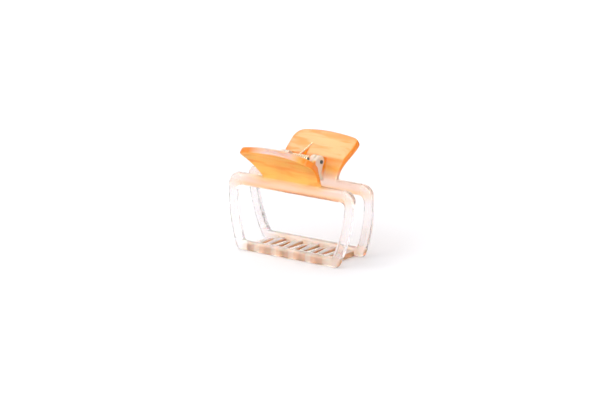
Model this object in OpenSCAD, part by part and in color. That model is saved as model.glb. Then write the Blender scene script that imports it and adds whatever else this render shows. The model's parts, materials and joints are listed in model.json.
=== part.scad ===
// Hair claw clip: two toothed jaws on one hinge pin, closed by a torsion spring.
// X runs along the hinge, Y from the front jaw to the rear jaw, Z up from the feet. Millimetres.
// Every jaw is drawn as the rear one about the hinge plane; the front jaw is turned half round,
// so that the lugs and teeth of the two fall between each other. The whole is then moved along Y,
// so that the clip's depth is centred on the origin although its finger plates differ.

/* [Frame] */
// Length of the clip along the hinge
clip_len = 60; // [56:1:66]
// Height of the open frame, up to the foot of the finger plate
frame_h = 31; // [29:0.5:33]
// Thickness of the moulding from its outer face to its inner face
wall = 2.9; // [2.5:0.1:3.2]
// Distance of a jaw's outer face from the hinge plane at the feet
foot_y = 10.6; // [9.8:0.1:11.6]
// Distance of a jaw's outer face from the hinge plane at the top of the frame
shoulder_y = 7.6; // [7.2:0.1:8.2]
// Width of the two upright side bars
side_w = 4.2; // [3.4:0.1:5]
// Height of the bar that carries the finger plate
top_bar_h = 4.1; // [3.4:0.1:5]
// Height of the bar that carries the teeth
bottom_bar_h = 3.9; // [3.3:0.1:4.6]
// How far each side draws in between its widest level and the feet
side_taper = 5.8; // [3:0.2:8]
// Depth of the widest level of the sides below the top of the frame
widest_drop = 5; // [3:0.5:7]
// Outer radius of the two upper corners
shoulder_r = 4.3; // [3:0.1:5]
// Outer radius of the two lower corners
foot_r = 2; // [1:0.1:2.6]
// Radius of the upper corners of the window
window_top_r = 2; // [1:0.1:3]
// Radius of the lower corners of the window
window_foot_r = 1; // [0.5:0.1:1.5]
// Bevel along the upper and lower edges of the frame
edge = 0.6; // [0.3:0.1:0.8]

/* [Rear finger plate] */
// Rise of the rear jaw's finger plate above the frame
rear_plate_rise = 16.4; // [14:0.2:19]
// Reach of the rear plate's flared end from the middle of the clip
rear_flared_reach = 17.3; // [15:0.1:19]
// Height over which the rear plate's flared end sweeps out from the neck
rear_flare_h = 13; // [9:0.5:14]
// How late the rear plate's flare begins: 1 sweeps out from the neck at once, 2 starts gently
rear_flare_ease = 1.7; // [1:0.1:2.5]

/* [Front finger plate] */
// Rise of the front jaw's finger plate above the frame
front_plate_rise = 14; // [13:0.2:19]
// Reach of the front plate's flared end from the middle of the clip
front_flared_reach = 20.2; // [17:0.1:21]
// Height over which the front plate's flared end sweeps out from the neck
front_flare_h = 10; // [7:0.5:12]
// How late the front plate's flare begins: 1 sweeps out from the neck at once, 2 starts gently
front_flare_ease = 1.1; // [1:0.1:2.5]

/* [Both finger plates] */
// Width of the finger plate where it grows out of the frame
neck_w = 27; // [24:0.2:28]
// Reach of the upright end of the plate from the middle of the clip
upright_reach = 13.1; // [12:0.1:15]
// Thickness of the leaning part of the finger plate
plate_t = 3; // [2.4:0.1:3.3]
// Lean of the finger plate from the upright, in degrees
plate_lean = 46; // [40:1:50]
// Radius of the outer face where the neck bends into the plate
bend_r = 11; // [9:0.5:12]
// Radius of the upper corner at the plate's flared end
flared_corner_r = 2.4; // [1.5:0.1:3.5]
// Radius of the upper corner at the plate's upright end
upright_corner_r = 4.6; // [3.6:0.1:5.5]
// How far the ends of the plate curl outward, seen from above
plate_curl = 1.5; // [0:0.1:2]
// Rise of the middle of the plate's upper edge over its ends
plate_arch = 2.2; // [0:0.1:2.6]
// Radius of the plate's rounded rim
rim_r = 0.8; // [0.4:0.1:1.1]

/* [Hinge] */
// Rise of the hinge axis above the frame
pin_rise = 8; // [7.6:0.1:8.6]
// Diameter of the hinge pin
pin_d = 1.5; // [1.2:0.1:1.8]
// How far each end of the pin stands out of the outer lug
pin_stub = 0.8; // [0:0.1:1.2]
// Radial running clearance of the pin in the rear jaw's lugs
pin_play = 0.05; // [0.03:0.01:0.09]
// Radius of the round eyes of the lugs
lug_r = 2.5; // [2.2:0.1:3]
// Thickness of each lug along the pin
lug_t = 2; // [1.5:0.1:2.4]
// Distance from the middle of the clip to the near face of an inner lug
inner_lug_x = 5.4; // [5.2:0.1:6.5]
// Gap between the two neighbouring lugs at each end of the pin
lug_gap = 0.2; // [0.1:0.05:0.4]
// Slope of a lug's free edge from the upright, in degrees
web_lean = 26; // [20:1:32]

/* [Teeth] */
// Number of teeth on each jaw
teeth = 5; // [3:1:5]
// Spacing of the teeth of one jaw
tooth_pitch = 8.25; // [7:0.05:8.4]
// Side gap between the interleaved teeth of the two jaws
tooth_gap = 0.42; // [0.3:0.02:0.8]
// Height of a tooth at its root
tooth_root_h = 2.6; // [2.2:0.1:3]
// Height of a tooth at its tip
tooth_tip_h = 2; // [1.5:0.1:2.2]
// Radius of a tooth's tip
tooth_tip_r = 1.3; // [0.8:0.1:1.4]
// Gap between a tooth's tip and the opposite jaw when the clip is closed
tip_gap = 0.4; // [0.3:0.1:1]

/* [Spring] */
// Diameter of the spring wire
wire_d = 0.55; // [0.5:0.01:0.6]
// Radius of the coil at the middle of its wire
coil_r = 1.5; // [1.4:0.05:1.7]
// Number of full turns of the coil
turns = 8; // [5:1:8]
// Open gap between neighbouring turns
turn_gap = 0.47; // [0.46:0.01:0.52]
// Rise of the spring's legs from the level, in degrees
leg_rise = 26; // [25:0.5:28]
// Distance of each leg's tip from the middle of the clip
leg_tip_x = 2.3; // [2.2:0.1:3.5]
// Length of the slanting blind hole in the finger plate that holds a leg's tip
leg_hole = 2; // [1.4:0.1:2.4]
// Clearance of a leg's tip in its hole
leg_play = 0.08; // [0.05:0.01:0.12]

/* [Hidden] */
$fn = 64;
RESIN = "sandybrown";

half_len = clip_len / 2;
pin_z = frame_h + pin_rise;
// Finger plates as [height above the floor, flared reach, flare height, flare ease]
REAR_PLATE = [frame_h + rear_plate_rise, rear_flared_reach, rear_flare_h, rear_flare_ease];
FRONT_PLATE = [frame_h + front_plate_rise, front_flared_reach, front_flare_h, front_flare_ease];
face_slope = (foot_y - shoulder_y) / frame_h;
widest_z = frame_h - widest_drop;
side_r = (widest_z * widest_z + side_taper * side_taper) / (2 * side_taper);
side_centre_x = half_len - side_r;
reach = 100;

// ---- outline of the frame and of its window ----

// n + 1 points of an arc about [cx, cz], from angle a0 to angle a1
function arc(cx, cz, r, a0, a1, n) =
    [for (i = [0:n]) let (a = a0 + (a1 - a0) * i / n) [cx + r * cos(a), cz + r * sin(a)]];

function mirrored(points) = [for (i = [len(points) - 1:-1:0]) [-points[i].x, points[i].y]];

// Right half of a closed outline: floor, lower corner, drawn-in side, upper corner.
// inset is measured in from the outer side, corners are tangent to the side's arc.
function half_outline(inset, z_low, z_high, r_low, r_high) =
    let (r = side_r - inset,
         low = z_low + r_low - widest_z,
         high = z_high - r_high - widest_z,
         low_x = side_centre_x + sqrt(pow(r - r_low, 2) - low * low),
         high_x = side_centre_x + sqrt(pow(r - r_high, 2) - high * high),
         low_a = asin(low / (r - r_low)),
         high_a = asin(high / (r - r_high)))
    concat(arc(low_x, z_low + r_low, r_low, -90, low_a, 5),
           arc(side_centre_x, widest_z, r, low_a, high_a, 10),
           arc(high_x, z_high - r_high, r_high, high_a, 90, 7));

function outline(inset, z_low, z_high, r_low, r_high) =
    let (right = half_outline(inset, z_low, z_high, r_low, r_high)) concat(right, mirrored(right));

module across(points) rotate([90, 0, 0]) linear_extrude(reach, center = true) polygon(points);
module along(points, length) rotate([90, 0, 90]) linear_extrude(length, center = true) polygon(points);

module frame_block() across(outline(0, 0, frame_h, foot_r, shoulder_r));
module window_block() across(outline(side_w, bottom_bar_h, frame_h - top_bar_h, window_foot_r, window_top_r));

// ---- side view of the frame: a slab that leans in towards the hinge ----

function outer_y(z) = foot_y - face_slope * z;
function inner_y(z) = outer_y(z) - wall;

slab_profile = [
    [inner_y(0) + edge, 0], [outer_y(0) - edge, 0], [outer_y(edge), edge],
    [outer_y(frame_h - edge), frame_h - edge], [outer_y(frame_h) - edge, frame_h],
    [inner_y(frame_h) + edge, frame_h], [inner_y(frame_h - edge), frame_h - edge],
    [inner_y(edge), edge]];

// ---- teeth ----

tooth_w = tooth_pitch / 2 - tooth_gap;
tooth_root_y = foot_y - wall / 2;
tooth_tip_y = -(inner_y(tooth_tip_h) - tip_gap);
tip_drop = 0.5 * tooth_tip_h;

tooth_side = [
    [tooth_root_y, 0], [tooth_root_y, tooth_root_h],
    [tooth_tip_y + 1.6 * tip_drop, tooth_tip_h], [tooth_tip_y, tooth_tip_h - tip_drop], [tooth_tip_y, 0]];
tooth_plan = concat(
    [[tooth_w / 2, tooth_root_y]],
    [[-tooth_w / 2, tooth_root_y]],
    arc(0, tooth_tip_y + tooth_tip_r, tooth_tip_r, 180, 360, 8));

// Each jaw's comb is shifted by a quarter pitch, so that the turned jaw's teeth fall between
function tooth_x(i) = (i - (teeth - 1) / 2) * tooth_pitch + tooth_pitch / 4;

module tooth() intersection() {
    along(tooth_side, tooth_w);
    linear_extrude(tooth_root_h) polygon(tooth_plan);
}

module comb() for (i = [0:teeth - 1]) translate([tooth_x(i), 0, 0]) tooth();

// ---- finger plate: rings of points from the neck to the rounded upper edge ----

plate_dir = [sin(plate_lean), cos(plate_lean)];
plate_out = [cos(plate_lean), -sin(plate_lean)];
bend_end = [shoulder_y + bend_r * (1 - cos(plate_lean)), frame_h + bend_r * sin(plate_lean)];
inner_bend_end = bend_end - plate_t * plate_out;
crease = inner_bend_end - 0.2 * bend_r * plate_dir;
neck_inset = 0.12;
neck_bottom_z = frame_h - top_bar_h / 2;

function mix(a, b, k) = a + (b - a) * k;
function within(k) = min(1, max(0, k));

// Length of the straight part of a plate whose rounded rim reaches its height
function plate_len(plate) =
    (plate[0] + rim_r * (plate_dir.x + plate_dir.y - 1) - inner_bend_end.y) / plate_dir.y;

// Stations up the plate: [outer point, inner point, share of the height]
root_station = [[outer_y(neck_bottom_z) - neck_inset, neck_bottom_z],
                [inner_y(neck_bottom_z) + neck_inset, neck_bottom_z], 0];
neck_stations = [for (i = [0:4]) let (k = i / 4, a = plate_lean * 0.8 * k)
    [[shoulder_y - neck_inset + (bend_r + neck_inset) * (1 - cos(a)), frame_h + bend_r * sin(a)],
     mix([shoulder_y - wall + neck_inset, frame_h], crease, k), k * 0.45]];
function station(d, thinner, share) =
    [bend_end + d * plate_dir - thinner * plate_out, inner_bend_end + d * plate_dir + thinner * plate_out, share];
function stations(plate) = let (l = plate_len(plate), c = min(0.95, upright_corner_r / l)) concat(
    [root_station], neck_stations,
    [for (k = [0, (1 - c) / 2, 1 - c, 1 - 0.8 * c, 1 - 0.6 * c, 1 - 0.42 * c, 1 - 0.3 * c])
        station(k * l, 0, 0.5 + 0.5 * k)],
    [for (a = [0, 30, 60, 85]) station(l - rim_r * (1 - sin(a)), rim_r * (1 - cos(a)), 1)]);

// How far a rounded upper corner of radius r draws an end in at a station
function corner_cut(st, plate, r) =
    let (to_edge = plate_len(plate) - (st[1] - inner_bend_end) * plate_dir, c = r - min(r, to_edge))
    r - sqrt(r * r - c * c);

// Share of the flare that a plate has made at a station
function flare(st, plate) = pow(sin(90 * within((st[0].y - frame_h) / plate[2])), plate[3]);

function flared_end(st, plate) =
    mix(neck_w / 2, plate[1], flare(st, plate)) - corner_cut(st, plate, flared_corner_r);
function upright_end(st, plate) =
    mix(neck_w / 2, upright_reach, flare(st, plate)) - corner_cut(st, plate, upright_corner_r);

faces_across = 8;

// One ring: outer face left to right, right rim, inner face right to left, left rim
function ring_marks(left, right, t) =
    let (e = min(rim_r, t / 3), x = [for (i = [0:faces_across]) mix(left + e, right - e, i / faces_across)])
    concat([for (v = x) [v, 0]], [[right, e / t], [right, 1 - e / t]],
           [for (i = [faces_across:-1:0]) [x[i], 1]], [[left, 1 - e / t], [left, e / t]]);

function ring(st, plate) =
    let (mid = (plate[1] - upright_reach) / 2, half = (plate[1] + upright_reach) / 2)
    [for (m = ring_marks(-upright_end(st, plate), flared_end(st, plate), norm(st[0] - st[1])))
        let (p = mix(st[0], st[1], m.y), q = pow((m.x - mid) / half, 2) * st[2] * st[2])
        [m.x, p.x + q * (plate_curl - plate_arch * plate_dir.x), p.y - q * plate_arch * plate_dir.y]];

// Furthest that a plate stands out from the hinge plane
function plate_depth(plate) = max([for (st = stations(plate)) for (p = ring(st, plate)) p.y]);
hinge_y = (plate_depth(FRONT_PLATE) - plate_depth(REAR_PLATE)) / 2;
echo(hinge_plane_y_mm = hinge_y);

ring_n = 2 * faces_across + 6;

function quad(a, b, c, d) = [[a, b, c], [a, c, d]];
function flat(lists) = [for (l = lists) for (v = l) v];

// Triangles between ring r and the ring above it
function band(r, n) = flat([for (i = [0:n - 1]) let (j = (i + 1) % n)
    quad(r * n + i, r * n + n + i, r * n + n + j, r * n + j)]);

// Triangles that close ring number r of the plate across its thickness
function plate_cap(r) = let (b = r * ring_n, f = faces_across, n = ring_n) flat(concat(
    [for (i = [0:f - 1]) quad(b + i, b + i + 1, b + n - 4 - i, b + n - 3 - i)],
    [quad(b + f, b + f + 1, b + f + 2, b + f + 3), quad(b + n - 3, b + n - 2, b + n - 1, b)]));

function turned(faces) = [for (t = faces) [t[2], t[1], t[0]]];

module finger_plate(plate) {
    rings = [for (st = stations(plate)) ring(st, plate)];
    last = len(rings) - 1;
    polyhedron(
        points = flat(rings),
        faces = turned(concat(plate_cap(0), turned(plate_cap(last)),
            flat([for (r = [0:last - 1]) band(r, ring_n)]))));
}

// ---- hinge lugs ----

outer_lug_x = inner_lug_x + lug_t + lug_gap;
pin_half_len = outer_lug_x + lug_t + pin_stub;
web_edge = 0.97 * lug_r;
web_top = [-web_edge * cos(web_lean), pin_z - web_edge * sin(web_lean)];
web_foot_z = frame_h - 0.15 * top_bar_h;
bar_mid = shoulder_y - wall / 2;

web_profile = [
    web_top,
    [web_top.x + (web_top.y - web_foot_z) * tan(web_lean), web_foot_z],
    [bar_mid, frame_h - 0.6 * top_bar_h],
    [bar_mid, frame_h],
    mix(neck_stations[2][0], neck_stations[2][1], 0.5),
    mix(neck_stations[4][0], neck_stations[4][1], 0.6),
    [0.35 * lug_r, pin_z + 0.9 * lug_r],
    [0, pin_z]];

// A lug whose near face is at x, growing along X
module lug(x) translate([x, 0, 0]) {
    translate([0, 0, pin_z]) rotate([0, 90, 0]) cylinder(r = lug_r, h = lug_t);
    translate([lug_t / 2, 0, 0]) along(web_profile, lug_t);
}

module pin_bore(d) translate([0, 0, pin_z]) rotate([0, 90, 0]) cylinder(d = d, h = reach, center = true);

// ---- spring: one wire along the rear leg, the coil and the front leg ----

leg_dir = [cos(leg_rise), sin(leg_rise)];
leg_foot = [coil_r * sin(leg_rise), pin_z - coil_r * cos(leg_rise)];
// Where the line of a leg meets the inner face of the plate, along the leg
plate_gap = (leg_foot - inner_bend_end) * -plate_out;
leg_to_face = plate_gap / (leg_dir * plate_out);
leg_len = leg_to_face + leg_hole - leg_play;
turn_pitch = wire_d + turn_gap;
coil_turns = turns + 2 * leg_rise / 360;
coil_half = turn_pitch * coil_turns / 2;
rings_a_turn = 8;
coil_steps = ceil(coil_turns * rings_a_turn);
wire_sides = 6;
lead = turn_pitch / (2 * PI * coil_r);

// A leg leaves the coil along its own lead for a wire's width, then runs straight to its hole
leg_start_x = coil_half + lead * wire_d;
leg_swing = (leg_start_x - leg_tip_x) / (leg_to_face - wire_d);
function leg_point(s) = [leg_swing * (s - wire_d) - leg_start_x, leg_foot.x + leg_dir.x * s, leg_foot.y + leg_dir.y * s];
rear_leg = [for (k = [0, 0.25, 0.5, 0.75, 1]) leg_point(mix(wire_d, leg_len, k))];
front_leg = [for (p = rear_leg) [-p.x, -p.y, p.z]];
coil = [for (i = [0:coil_steps]) let (k = i / coil_steps, a = leg_rise - 360 * coil_turns * k)
    [mix(-coil_half, coil_half, k), coil_r * sin(a), pin_z - coil_r * cos(a)]];
wire = concat([for (i = [len(rear_leg) - 1:-1:0]) rear_leg[i]], coil, front_leg);

function unit(v) = v / norm(v);
function heading(i) = unit(wire[min(i + 1, len(wire) - 1)] - wire[max(i - 1, 0)]);
function wire_ring(i) =
    let (t = heading(i), u = unit([1, 0, 0] - t.x * t), v = cross(t, u))
    [for (k = [0:wire_sides - 1]) let (a = 360 * k / wire_sides)
        wire[i] + wire_d / 2 * (cos(a) * u + sin(a) * v)];
function wire_cap(b) = [for (k = [1:wire_sides - 2]) [b, b + k, b + k + 1]];

// Least distance of point p from the stretch a to b
function off_stretch(p, a, b) =
    let (d = b - a, k = min(1, max(0, (p - a) * d / (d * d)))) norm(p - a - k * d);
apart = rings_a_turn - 2;
self_gap = min([for (i = [0:len(wire) - 1]) for (j = [i + apart:1:len(wire) - 2])
    off_stretch(wire[i], wire[j], wire[j + 1])]) - wire_d;
echo(spring_least_gap_to_itself_mm = self_gap);

module leg_hole_cut() {
    into = unit([leg_swing, leg_dir.x, leg_dir.y]);
    translate(leg_point(leg_to_face + leg_hole)) rotate([0, acos(-into.z), atan2(-into.y, -into.x)])
        cylinder(d = wire_d + 2 * leg_play, h = 4 * leg_hole, $fn = 24);
}

// ---- sub-parts ----

module jaw(plate, bore_d) difference() {
    union() {
        intersection() {
            frame_block();
            union() {
                along(slab_profile, reach);
                comb();
            }
        }
        finger_plate(plate);
        lug(inner_lug_x);
        lug(-outer_lug_x - lug_t);
    }
    window_block();
    pin_bore(bore_d);
    leg_hole_cut();
}

module rear_jaw() color(RESIN) translate([0, hinge_y, 0]) jaw(REAR_PLATE, pin_d + 2 * pin_play);

module front_jaw() color(RESIN) translate([0, hinge_y, 0]) rotate([0, 0, 180]) jaw(FRONT_PLATE, pin_d);

module hinge_pin() color("dimgray") translate([-pin_half_len, hinge_y, pin_z]) rotate([0, 90, 0])
    cylinder(d = pin_d, h = 2 * pin_half_len);

module spring() color("gold") translate([0, hinge_y, 0]) polyhedron(
    points = flat([for (i = [0:len(wire) - 1]) wire_ring(i)]),
    faces = concat(wire_cap(0), turned(wire_cap((len(wire) - 1) * wire_sides)),
        flat([for (r = [0:len(wire) - 2]) band(r, wire_sides)])));

front_jaw();
rear_jaw();
hinge_pin();
spring();
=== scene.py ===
"""Hair claw clip: two jaws of ombre resin, a steel hinge pin and a gold torsion spring.

Laid out as an add-on: PropertyGroups hold the sizes and colours, one operator makes each group of
pieces, and main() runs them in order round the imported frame. Everything is in metres, X along the
hinge pin, Y from the front jaw to the rear jaw, Z up from the feet.
"""

import json
from math import asin, ceil, cos, hypot, pi, radians, sin, sqrt, tan

import bmesh
import bpy
import numpy as np
from mathutils import Matrix, Vector

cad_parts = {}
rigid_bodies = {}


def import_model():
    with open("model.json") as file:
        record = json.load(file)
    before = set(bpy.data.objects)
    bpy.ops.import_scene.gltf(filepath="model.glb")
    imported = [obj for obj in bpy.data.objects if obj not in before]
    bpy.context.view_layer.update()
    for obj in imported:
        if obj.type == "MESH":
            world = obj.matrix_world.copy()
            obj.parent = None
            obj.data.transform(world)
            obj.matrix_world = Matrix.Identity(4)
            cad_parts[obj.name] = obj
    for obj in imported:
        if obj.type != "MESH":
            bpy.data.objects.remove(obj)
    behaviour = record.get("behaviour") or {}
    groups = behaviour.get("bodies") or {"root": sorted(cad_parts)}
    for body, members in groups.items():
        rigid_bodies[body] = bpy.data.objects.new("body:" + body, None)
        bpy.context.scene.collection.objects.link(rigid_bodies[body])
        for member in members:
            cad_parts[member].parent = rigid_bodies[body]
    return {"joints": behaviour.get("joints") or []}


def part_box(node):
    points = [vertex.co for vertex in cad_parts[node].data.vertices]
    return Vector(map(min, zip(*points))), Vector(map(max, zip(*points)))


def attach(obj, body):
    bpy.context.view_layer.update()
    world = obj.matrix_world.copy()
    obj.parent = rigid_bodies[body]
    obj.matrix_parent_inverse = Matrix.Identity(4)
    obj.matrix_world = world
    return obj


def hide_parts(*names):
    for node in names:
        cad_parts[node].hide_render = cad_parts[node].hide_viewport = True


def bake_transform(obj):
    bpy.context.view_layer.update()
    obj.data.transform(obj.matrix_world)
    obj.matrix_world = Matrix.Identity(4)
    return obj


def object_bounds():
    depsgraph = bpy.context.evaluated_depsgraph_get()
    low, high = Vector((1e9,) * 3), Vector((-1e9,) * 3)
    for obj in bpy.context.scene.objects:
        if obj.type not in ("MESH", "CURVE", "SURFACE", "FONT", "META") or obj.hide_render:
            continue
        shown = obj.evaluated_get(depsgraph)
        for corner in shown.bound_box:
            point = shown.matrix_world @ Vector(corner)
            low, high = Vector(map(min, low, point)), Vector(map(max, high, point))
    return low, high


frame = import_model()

bl_info = {
    "name": "Hair Claw Clip",
    "version": (1, 0, 0),
    "blender": (4, 5, 0),
    "location": "3D View > Sidebar > Claw Clip",
    "description": "Builds a translucent hair claw clip with its hinge pin, spring and studio",
    "category": "Object",
}

CAD_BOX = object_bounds()
MM = 0.001
HINGE = frame["joints"][0]
HINGE_AT = Vector(HINGE["pos_m"])
FRONT, REAR = HINGE["parent"], HINGE["child"]
PIN_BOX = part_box("hinge_pin")


# ---- settings ----


def size(name, millimetres, description):
    """A length in metres, given here in millimetres."""
    return bpy.props.FloatProperty(
        name=name, description=description, default=millimetres * MM, precision=5, unit="LENGTH")


def angle(name, in_degrees, description):
    return bpy.props.FloatProperty(
        name=name, description=description, default=radians(in_degrees), subtype="ANGLE")


def share(name, value, description):
    return bpy.props.FloatProperty(
        name=name, description=description, default=value, min=0.0, max=1.0, subtype="FACTOR")


def number(name, value, description):
    return bpy.props.FloatProperty(name=name, description=description, default=value)


def whole(name, value, description, least=1):
    return bpy.props.IntProperty(name=name, description=description, default=value, min=least)


def colour(name, rgb, description):
    """A colour in linear light."""
    return bpy.props.FloatVectorProperty(
        name=name, description=description, default=rgb, size=3, min=0.0, max=1.0, subtype="COLOR")


def group(name, kind, description):
    return bpy.props.PointerProperty(name=name, type=kind, description=description)


class FrameSizes(bpy.types.PropertyGroup):
    """The open frame of a jaw."""

    length: size("Length", (CAD_BOX[1][0] - CAD_BOX[0][0]) / MM, "Length of the clip along the hinge")
    height: size("Height", 31, "Height of the open frame, up to the foot of the finger plate")
    wall: size("Wall", 2.9, "Thickness of the moulding from its outer face to its inner face")
    foot_y: size("Foot distance", 10.6, "Outer face to hinge plane, at the feet")
    shoulder_y: size("Shoulder distance", 7.6, "Outer face to hinge plane, at the top of the frame")
    side_w: size("Side bar", 4.2, "Width of the two upright side bars")
    top_bar_h: size("Top bar", 4.9, "Height of the bar that carries the finger plate")
    bottom_bar_h: size("Bottom bar", 3.9, "Height of the bar that carries the teeth")
    side_taper: size("Side taper", 5.8, "How far each side draws in from its widest level to the feet")
    widest_drop: size("Widest level", 5, "Depth of the sides' widest level below the top of the frame")
    shoulder_r: size("Shoulder radius", 4.3, "Outer radius of the upper corners")
    foot_r: size("Foot radius", 2, "Outer radius of the lower corners")
    window_top_r: size("Window top radius", 2, "Radius of the window's upper corners")
    window_foot_r: size("Window foot radius", 1, "Radius of the window's lower corners")
    edge: size("Edge", 0.7, "Width that the rounding takes from each long edge of the bars")


class PlateSizes(bpy.types.PropertyGroup):
    """What differs between the two finger plates."""

    rise: size("Rise", 16.4, "Height of the finger plate above the frame")
    flared_reach: size("Flared reach", 17.3, "Reach of the flared end from the middle of the clip")
    flare_h: size("Flare height", 13, "Height over which the flared end sweeps out from the neck")
    flare_ease: number("Flare ease", 1.7, "1 sweeps out from the neck at once, 2 starts gently")
    droop: size("Droop", 0, "How much lower the upright end falls than the flared end")


class PlateForm(bpy.types.PropertyGroup):
    """What the two finger plates share."""

    neck_w: size("Neck width", 27, "Width of the plate where it grows out of the frame")
    upright_reach: size("Upright reach", 13.1, "Reach of the upright end from the middle of the clip")
    thickness: size("Thickness", 3, "Thickness of the leaning part of the plate")
    lean: angle("Lean", 46, "Lean of the plate from the upright")
    bend_r: size("Bend radius", 11, "Radius of the outer face where the neck bends into the plate")
    flared_corner_r: size("Flared corner", 2.4, "Radius of the upper corner at the flared end")
    upright_corner_r: size("Upright corner", 4.6, "Radius of the upper corner at the upright end")
    curl: size("Curl", 1.5, "How far the ends of the plate curl outward, seen from above")
    arch: size("Arch", 2.2, "Rise of the middle of the plate's upper edge over its ends")
    rim_r: size("Rim radius", 0.8, "Radius of the plate's rounded rim")


class HingeSizes(bpy.types.PropertyGroup):
    """Lugs and pin."""

    pin_d: size("Pin diameter", (PIN_BOX[1][2] - PIN_BOX[0][2]) / MM, "Diameter of the hinge pin")
    pin_play: size("Pin play", 0.05, "Radial clearance of the pin in the rear jaw's lugs")
    press_gap: size("Press gap", 0.012, "Hairline between the pin and the front jaw's lugs")
    pin_chamfer: size("Pin chamfer", 0.32, "Chamfer at each end of the pin")
    lug_r: size("Lug radius", 2.5, "Radius of the round eyes of the lugs")
    lug_t: size("Lug thickness", 2, "Thickness of each lug along the pin")
    inner_lug_x: size("Inner lug", 5.4, "Middle of the clip to the near face of an inner lug")
    lug_gap: size("Lug gap", 0.2, "Gap between neighbouring lugs")
    web_lean: angle("Web lean", 26, "Slope of a lug's free edge from the upright")


class ToothSizes(bpy.types.PropertyGroup):
    """The comb of a jaw."""

    count: whole("Teeth", 5, "Teeth on each jaw")
    pitch: size("Pitch", 8.25, "Spacing of the teeth of one jaw")
    side_gap: size("Side gap", 0.42, "Side gap between the interleaved teeth of the two jaws")
    root_h: size("Root height", 2.6, "Height of a tooth at its root")
    tip_h: size("Tip height", 2, "Height of a tooth at its tip")
    tip_r: size("Tip radius", 1.3, "Radius of a tooth's tip, seen from above")
    tip_gap: size("Tip gap", 0.4, "Gap between a tooth's tip and the opposite jaw")


class SpringSizes(bpy.types.PropertyGroup):
    """The torsion spring and the ribs that back its legs."""

    wire_d: size("Wire", 0.55, "Diameter of the spring wire")
    coil_r: size("Coil radius", 1.5, "Radius of the coil at the middle of its wire")
    turns: whole("Turns", 8, "Full turns of the coil")
    turn_gap: size("Turn gap", 0.47, "Open gap between neighbouring turns")
    leg_rise: angle("Leg rise", 26, "Rise of the legs from the level")
    leg_tip_x: size("Leg tip", 2.3, "Distance of each leg's tip from the middle of the clip")
    leg_hole: size("Leg hole", 2, "Length of the blind hole that holds a leg's tip")
    leg_play: size("Leg play", 0.08, "Clearance of a leg's tip in its hole")
    rib_t: size("Rib", 0.95, "Thickness of the rib on each finger plate that backs a leg")
    rib_gap: size("Rib gap", 0.5, "Gap between the coil and the ribs")


class ResinLook(bpy.types.PropertyGroup):
    """Colours and finish of the moulded resin, with the colours that paint light and shade on it."""

    orange: colour("Orange", (1.0, 0.55, 0.085), "Dye of the front finger plate")
    # Painted light: the orange, lightened where light falls on the rear plate's leaning part
    painted_lit_orange: colour("Painted lit orange", (1.0, 0.60, 0.26), "Dye of the rear finger plate, thinner")
    # Also the painted shade along the plates' crease and fold
    deep_orange_and_shade: colour("Deep orange and shade", (0.95, 0.30, 0.0), "Streaks in the dye, and the plates' ends")
    # Painted highlight: a pale colour on the plates' rims that stands in for the lamp's reflection
    rim_highlight: colour("Rim highlight", (0.76, 0.66, 0.69), "The plates' rims, where the dye has run thin")
    peach: colour("Peach", (0.95, 0.70, 0.59), "Dye at the top bars")
    clear: colour("Clear", (0.955, 0.895, 0.89), "The nearly clear sides")
    blush: colour("Blush", (1.0, 0.86, 0.76), "Dye of the toothed bars")
    # Also the painted shade on the bar between the teeth's roots
    deep_blush: colour("Deep blush", (1.0, 0.50, 0.24), "The teeth's sides, where light travels far")
    # A deeper peach along the foot of the top bars
    foot_peach: colour("Foot peach", (1.0, 0.58, 0.30), "Dye pooled at the foot of the top bars")
    lug_pink: colour("Lug pink", (0.985, 0.755, 0.62), "The hinge lugs")
    haze: share("Haze", 0.05, "Share of the light that the clear resin scatters")
    teeth_haze: share("Teeth haze", 0.24, "Share of the light that the teeth scatter")
    cloudiness: share("Cloudiness", 0.48, "Share of the light that the dyed resin scatters")
    lug_cloudiness: share("Lug cloudiness", 0.6, "Share of the light that the lugs scatter")
    gloss: share("Gloss", 1.0, "Weight of the gloss coat")
    dyed_gloss: share("Dyed gloss", 0.35, "Weight of the gloss coat on the dyed resin")
    ior: number("IOR", 1.49, "Index of refraction of the resin")
    fade_low: size("Fade low", 29.9, "Height at which the orange dye begins")
    fade_high: size("Fade high", 34.7, "Height at which the orange dye is full")
    # Partly measured, and partly painted light: the rear jaw's neck keeps less orange, standing in for
    # light that passes through it where the front plate shades it
    fade_tilt: size("Fade tilt", 5, "How much higher the dye ends at the rear jaw than at the front one")


class MetalLook(bpy.types.PropertyGroup):
    """Colours of the pin and the spring."""

    # Partly painted shade: the steel is made very dark so that the pin's end paints the shade at the end
    # of the hinge
    steel: colour("Steel", (0.16, 0.155, 0.15), "Drawn steel of the hinge pin")
    gold: colour("Gold", (1.0, 0.93, 0.72), "Pale gold plating of the spring")
    worn_gold: colour("Worn gold", (0.96, 0.86, 0.62), "Plating where it has thinned")


class StudioSettings(bpy.types.PropertyGroup):
    """Camera and floor."""

    azimuth: angle("Azimuth", 34.67, "Camera direction round the clip, from the front")
    elevation: angle("Elevation", 15.38, "Camera height angle")
    distance: size("Distance", 1200, "Camera distance")
    view_width: size("View width", 239.04, "Width of the view at the clip")
    target_z: size("Target height", 22, "Height of the point that the camera aims at")
    aim_right: size("Aim right", 0.44, "How far the clip sits to the right of the view's middle")
    aim_up: size("Aim up", 0.10, "How far the clip sits above the view's middle")
    floor: colour("Floor", (0.82, 0.815, 0.835), "Plain pale floor")
    floor_size: size("Floor size", 6000, "Side of the floor")


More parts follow.
